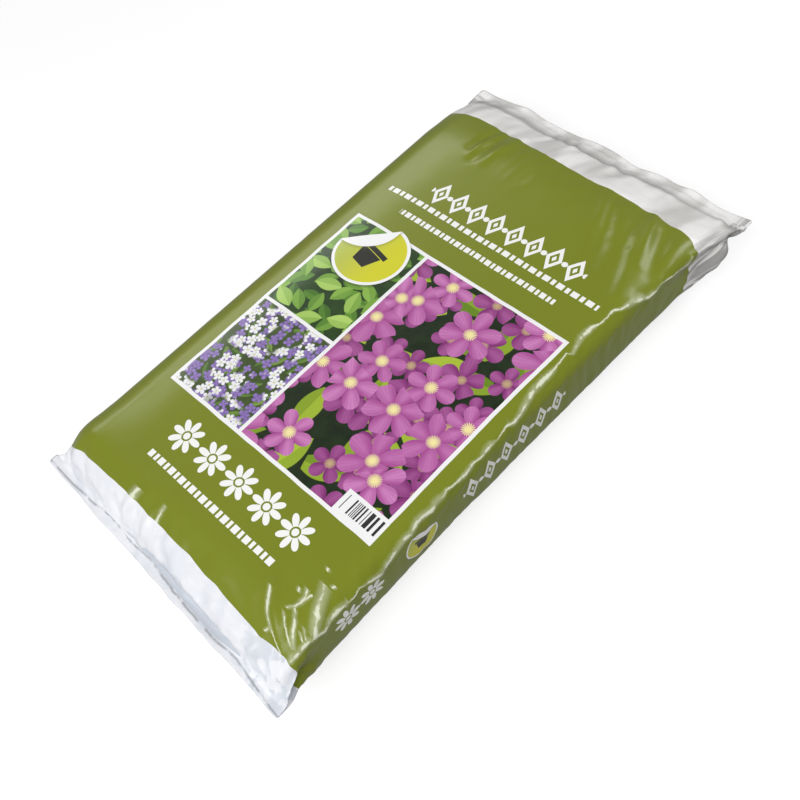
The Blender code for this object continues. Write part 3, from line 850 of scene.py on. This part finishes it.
jitter = wires.add("TexNoise", film_spot, named={"Scale": 240.0, "Detail": 2.0}).outputs["Color"]
jitter = wires.scale(wires.vector("SUBTRACT", jitter, (0.5, 0.5, 0.5)), 0.0030)
rough_place = wires.parts(wires.vector("ADD", film_spot, jitter))
patchiness = wires.cloud(film_spot, 62.0, 2.0)
crease_off = wires.apart(rough_place[0], profile(row, RIDGE[1:-1]))
ridge_wide = wires.fade(wires.cloud(film_spot, 17.0, 1.0), 0.40, 0.60, 0.55, 1.8)
crease_off = wires.math("DIVIDE", crease_off, ridge_wide)
crease_off = wires.math("ADD", crease_off, wires.fade(row, 0.052, 0.045, 0.0, 0.01))
crease_off = wires.math("ADD", crease_off, wires.fade(row, 0.733, 0.738, 0.0, 0.01))
for wide, *creases in CREASES:
    line = []
    for crease in sorted(creases, key=lambda crease: min(along for across, along in crease)):
        crease = sorted((along, across) for across, along in crease)
        line += [(crease[0][0] - CREASE_GAP, OFF_FILM), *crease, (crease[-1][0] + CREASE_GAP, OFF_FILM)]
    off = wires.apart(rough_place[0], profile(rough_place[1], line))
    crease_off = wires.math("MINIMUM", crease_off, wires.math("DIVIDE", off, wide))
core_half = wires.fade(patchiness, 0.35, 0.65, 0.0000, 0.0007)
crease_highlight = wires.fade(crease_off, core_half, wires.fade(patchiness, 0.35, 0.65, 0.0010, 0.0022), 1.0, 0.0)
crease_highlight = wires.both(crease_highlight, wires.fade(patchiness, 0.34, 0.50, 0.25, 1.0))
crease_highlight = wires.any(crease_highlight, wires.fade(crease_off, 0.0, 0.0042, 0.36, 0.0))
# A painted highlight along each crease, patchy along its length.
print_colour = wires.blend(wires.math("MULTIPLY", crease_highlight, 0.9), print_colour, (0.74, 0.77, 0.60))

# The bare ends are thin and milky white. Grey streaks of painted shade stand for their soft folds.
# Near the far weld a valley runs across and the far right ear has pleats; both are darkened with painted
# shade.
VALLEY = 0.838
VALLEY_HALF = 0.019
# Painted shade: grey streaks across both bare ends.
shade_streaks = wires.cloud(wires.vector("MULTIPLY", film_spot, (30.0, 6.0, 1.0)), 1.0, 1.0)
far_film = wires.blend(wires.fade(shade_streaks, 0.36, 0.60), (0.62, 0.605, 0.585), (0.87, 0.86, 0.845))
# Painted shade darkens the pleats of the far right ear.
pleat_shade = wires.cloud(wires.vector("MULTIPLY", film_spot, (150.0, 12.0, 1.0)), 1.0, 1.0)
pleat_shade = wires.both(wires.fade(pleat_shade, 0.60, 0.44), wires.fade(x, 0.195, 0.225), wires.fade(x, 0.32, 0.29))
far_film = wires.blend(wires.math("MULTIPLY", pleat_shade, 0.85), far_film, (0.24, 0.235, 0.23))
# Painted shade: a dark band along the valley by the far weld.
valley_shade = wires.fade(wires.apart(row, VALLEY), 0.0, VALLEY_HALF, 0.80, 0.0)
far_film = wires.blend(valley_shade, far_film, (0.33, 0.32, 0.31))

# The near end has painted shade: bluish grey streaks, painted crumple shade towards the right,
# a painted shadow in a wedge where the film tucks under, and a thin line of painted crease shade along its
# weld.
# The foot and the top of the painted shadow wedge where the near film tucks under.
SHADOW_WEDGE_FOOT = (
    (-0.12, 0.006), (-0.08, 0.002), (-0.0345, 0.0002), (0.006, -0.002), (0.054, -0.005), (0.102, -0.0045),
    (0.14, 0.0005), (0.16, 0.012),
)
SHADOW_WEDGE_TOP = (
    (-0.12, 0.0), (-0.09, 0.008), (-0.027, 0.0190), (0.026, 0.027), (0.068, 0.020), (0.115, 0.014),
    (0.138, 0.009), (0.16, 0.0),
)
# Where the painted crease shade runs along the near weld.
WELD_CREASE = (
    (-0.25, -0.010), (-0.200, -0.009), (-0.147, -0.0057), (-0.115, -0.0004), (-0.068, -0.0034),
    (-0.039, 0.0), (0.006, -0.003), (0.054, -0.006), (0.102, -0.006), (0.14, -0.003), (0.19, -0.009),
    (0.253, -0.013),
)
# Painted shade: bluish grey streaks over the near end.
near_film = wires.blend(wires.fade(shade_streaks, 0.30, 0.50), (0.68, 0.70, 0.75), (0.80, 0.81, 0.845))
# Painted shade over crumples towards the right.
crumple_shade = wires.fade(wires.cloud(film_spot, 42.0, 2.0, Distortion=1.5), 0.56, 0.44)
crumple_shade = wires.both(crumple_shade, wires.fade(x, 0.120, 0.175, 0.15, 0.75))
near_film = wires.blend(crumple_shade, near_film, (0.58, 0.62, 0.68))
# Painted shadow: a bluish grey wedge between two lines across the film.
above_wedge_foot = wires.math("SUBTRACT", row, profile(x, SHADOW_WEDGE_FOOT))
below_wedge_top = wires.math("SUBTRACT", profile(x, SHADOW_WEDGE_TOP), row)
below_wedge_top = wires.math("ADD", below_wedge_top, wires.math("MULTIPLY_ADD", patchiness, 0.018, -0.009))
shadow_wedge = wires.both(wires.fade(above_wedge_foot, 0.0, 0.001), wires.fade(below_wedge_top, 0.0, 0.009))
near_film = wires.blend(wires.math("MULTIPLY", shadow_wedge, 0.80), near_film, (0.46, 0.50, 0.56))
# Painted shade: a thin dark line in the crease along the weld, patchy along its length.
weld_crease_shade = wires.math("SUBTRACT", row, profile(x, WELD_CREASE))
weld_crease_shade = wires.math("ADD", weld_crease_shade, wires.math("MULTIPLY_ADD", patchiness, 0.004, -0.002))
weld_crease_shade = wires.math("ABSOLUTE", weld_crease_shade)
weld_crease_shade = wires.both(wires.fade(weld_crease_shade, 0.0, 0.0026, 0.8, 0.0), wires.fade(patchiness, 0.38, 0.55, 0.25, 1.0))
near_film = wires.blend(weld_crease_shade, near_film, (0.27, 0.28, 0.30))
bare_film = wires.blend(wires.fade(row, 0.3, 0.6), near_film, far_film)
film_colour = wires.blend(bare, print_colour, bare_film)

# The film wrinkles finely all over.
WRINKLE_DEPTH = 0.0012
ripple = wires.cloud(spot, 28.0, 3.0, Roughness=0.5)
height = wires.math("MULTIPLY_ADD", wires.cloud(spot, 120.0, 2.0), 0.06, ripple)
bump = wires.add("Bump", named={"Height": height, "Strength": 0.35, "Distance": WRINKLE_DEPTH})
skin = wires.add("BsdfPrincipled", named={"Base Color": film_colour, "Normal": bump.outputs[0]})
skin.inputs["Roughness"].default_value = 0.30
skin.inputs["Specular IOR Level"].default_value = 0.25
wires.add("OutputMaterial", skin.outputs[0])
bag_film.data.materials.append(film)


# Floor, light and camera
# A plain pale floor, a large soft key lamp at the near end, a weak one beyond the
# far end, a long strip on the left for the film's gloss, and the photograph's camera.

FLOOR_GREY = 0.34
FLOOR_GLOW = 0.71
SKY_LIGHT = 0.25  # how bright the white backdrop is as a light
GLOSSY_SHARE = 0.12  # how much of the white ground the film mirrors
BAG_MIDDLE = (0, 0, 0.06)

floor_sheet = bmesh.new()
bmesh.ops.create_grid(floor_sheet, x_segments=1, y_segments=1, size=6)
floor = bpy.data.objects.new("floor", bpy.data.meshes.new("floor"))
floor_sheet.to_mesh(floor.data)
floor_sheet.free()
bpy.context.scene.collection.objects.link(floor)


def seen_white(wires):
    """1 where the camera sees the ground or the backdrop, and a small share where the film mirrors it."""
    ray = wires.add("LightPath").outputs
    mirrored = wires.math("MULTIPLY", ray["Is Glossy Ray"], GLOSSY_SHARE)
    return wires.any(ray["Is Camera Ray"], ray["Is Transmission Ray"], mirrored)


paper = bpy.data.materials.new("paper")
paper.use_nodes = True
paper.node_tree.nodes.clear()
wires = Wiring(paper.node_tree)
matt = wires.add("BsdfDiffuse", (FLOOR_GREY, FLOOR_GREY, FLOOR_GREY, 1)).outputs[0]
glow = wires.add("Emission", (1, 1, 1, 1), FLOOR_GLOW).outputs[0]
bright = wires.add("AddShader", matt, glow).outputs[0]
wires.add("OutputMaterial", wires.add("MixShader", seen_white(wires), matt, bright).outputs[0])
floor.data.materials.append(paper)

world = bpy.data.worlds.new("studio")
world.use_nodes = True
world.node_tree.nodes.clear()
wires = Wiring(world.node_tree)
brightness = wires.math("MULTIPLY_ADD", seen_white(wires), 1 - SKY_LIGHT, SKY_LIGHT)
wires.add("OutputWorld", wires.add("Background", (1, 1, 1, 1), brightness).outputs[0])
bpy.context.scene.world = world


def lamp(name, place, width, height, power):
    """A soft lamp that faces the middle of the bag."""
    light = bpy.data.lights.new(name, "AREA")
    light.shape = "RECTANGLE"
    light.size = width
    light.size_y = height
    light.energy = power
    piece = bpy.data.objects.new(name, light)
    piece.location = place
    piece.rotation_euler = (Vector(BAG_MIDDLE) - Vector(place)).to_track_quat("-Z", "Y").to_euler()
    bpy.context.scene.collection.objects.link(piece)
    return piece


lamp("key_lamp", (0.5, -2.35, 2.6), width=2.4, height=2.4, power=110)
lamp("far_lamp", (1.0, 2.3, 1.6), width=1.4, height=0.8, power=36)
strip_lamp = lamp("strip_lamp", (-1.9, 0.65, 1.46), width=2.6, height=0.4, power=28)
strip_lamp.visible_diffuse = False

CAMERA_PLACE = (0.5643, -0.4148, 1.0172)
CAMERA_TURNS = (31.910, 7.866, 43.218)  # degrees about x, y and z
camera = bpy.data.objects.new("camera", bpy.data.cameras.new("camera"))
camera.data.sensor_width = 36
camera.data.lens = 41.29
camera.location = CAMERA_PLACE
camera.rotation_euler = [math.radians(turn) for turn in CAMERA_TURNS]
bpy.context.scene.collection.objects.link(camera)
bpy.context.scene.camera = camera
bpy.context.scene.view_settings.view_transform = "Standard"
